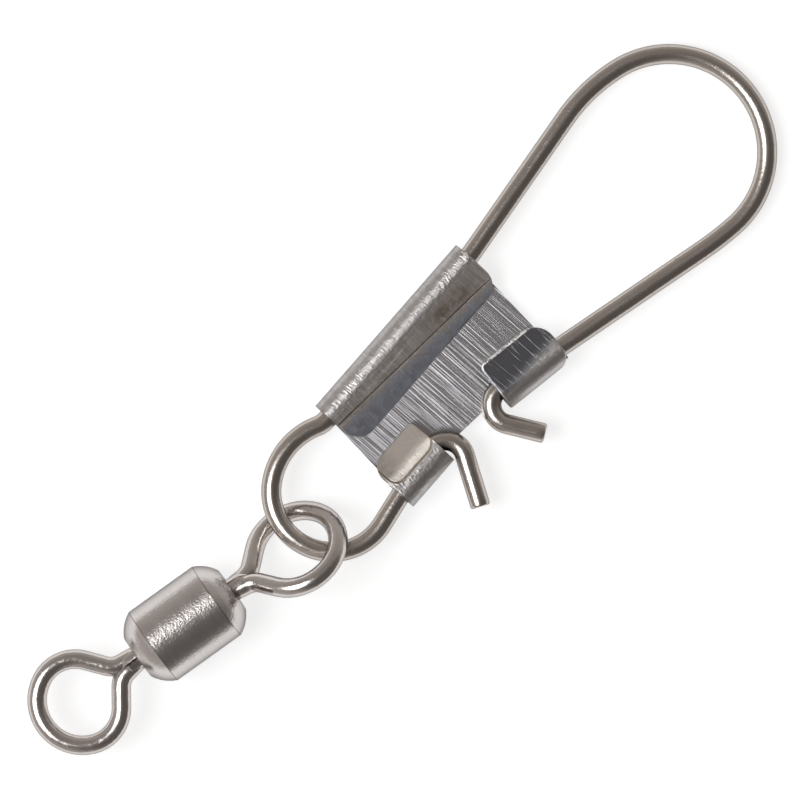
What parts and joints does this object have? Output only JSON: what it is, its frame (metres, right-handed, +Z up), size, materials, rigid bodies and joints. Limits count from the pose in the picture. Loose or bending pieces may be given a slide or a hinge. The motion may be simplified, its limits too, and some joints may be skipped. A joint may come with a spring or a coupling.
{
  "type": "snap swivel",
  "caption": "Barrel swivel with a wire eye at each end, one linked to a spring wire snap in a folded lock plate.",
  "frame": {"origin": "centre of the line eye's ring, on the axis of the swivel", "axes": "+X along the whole length from the line eye to the big loop, +Z up from the surface it lies on, +Y towards the straight leg and the rolled tube"},
  "size_m": [0.0479, 0.0119, 0.0042],
  "materials": {
    "polished_wire": "bright nickel on spring wire, fine drawing lines",
    "eye_wire": "bright nickel, smooth",
    "barrel_nickel": "bright nickel over drawn brass, satin from tumbling",
    "brushed_sheet": "rolled sheet, brushed across the plate"
  },
  "bodies": {
    "snap": {"lock_plate": "brushed_sheet", "snap_wire": "polished_wire"},
    "latch_arm": {"latch_arm": "polished_wire"},
    "link_eye": {"link_eye": "eye_wire"},
    "barrel": {"barrel": "barrel_nickel"},
    "line_eye": {"line_eye": "eye_wire"}
  },
  "joints": [
    {"name": "latch_flex", "type": "hinge", "parent": "snap", "child": "latch_arm", "pos_m": [0.03762, 0.00385, -0.00129], "axis": [-0.0396, 0, -0.9992], "range_deg": [0, 11], "stiffness_Nm_per_rad": 0.5},
    {"name": "link_swing", "type": "hinge", "parent": "snap", "child": "link_eye", "pos_m": [0.01317, -0.00191, 0], "axis": [0.1241, 0.6442, 0.7547], "range_deg": [-90, 130]},
    {"name": "barrel_swivel", "type": "hinge", "parent": "link_eye", "child": "barrel", "pos_m": [0.00661, -0.00079, 0], "axis": [0.9904, -0.1383, 0], "continuous": true},
    {"name": "line_eye_swivel", "type": "hinge", "parent": "barrel", "child": "line_eye", "pos_m": [0, 0, 0], "axis": [0.9945, -0.1045, 0], "continuous": true}
  ]
}
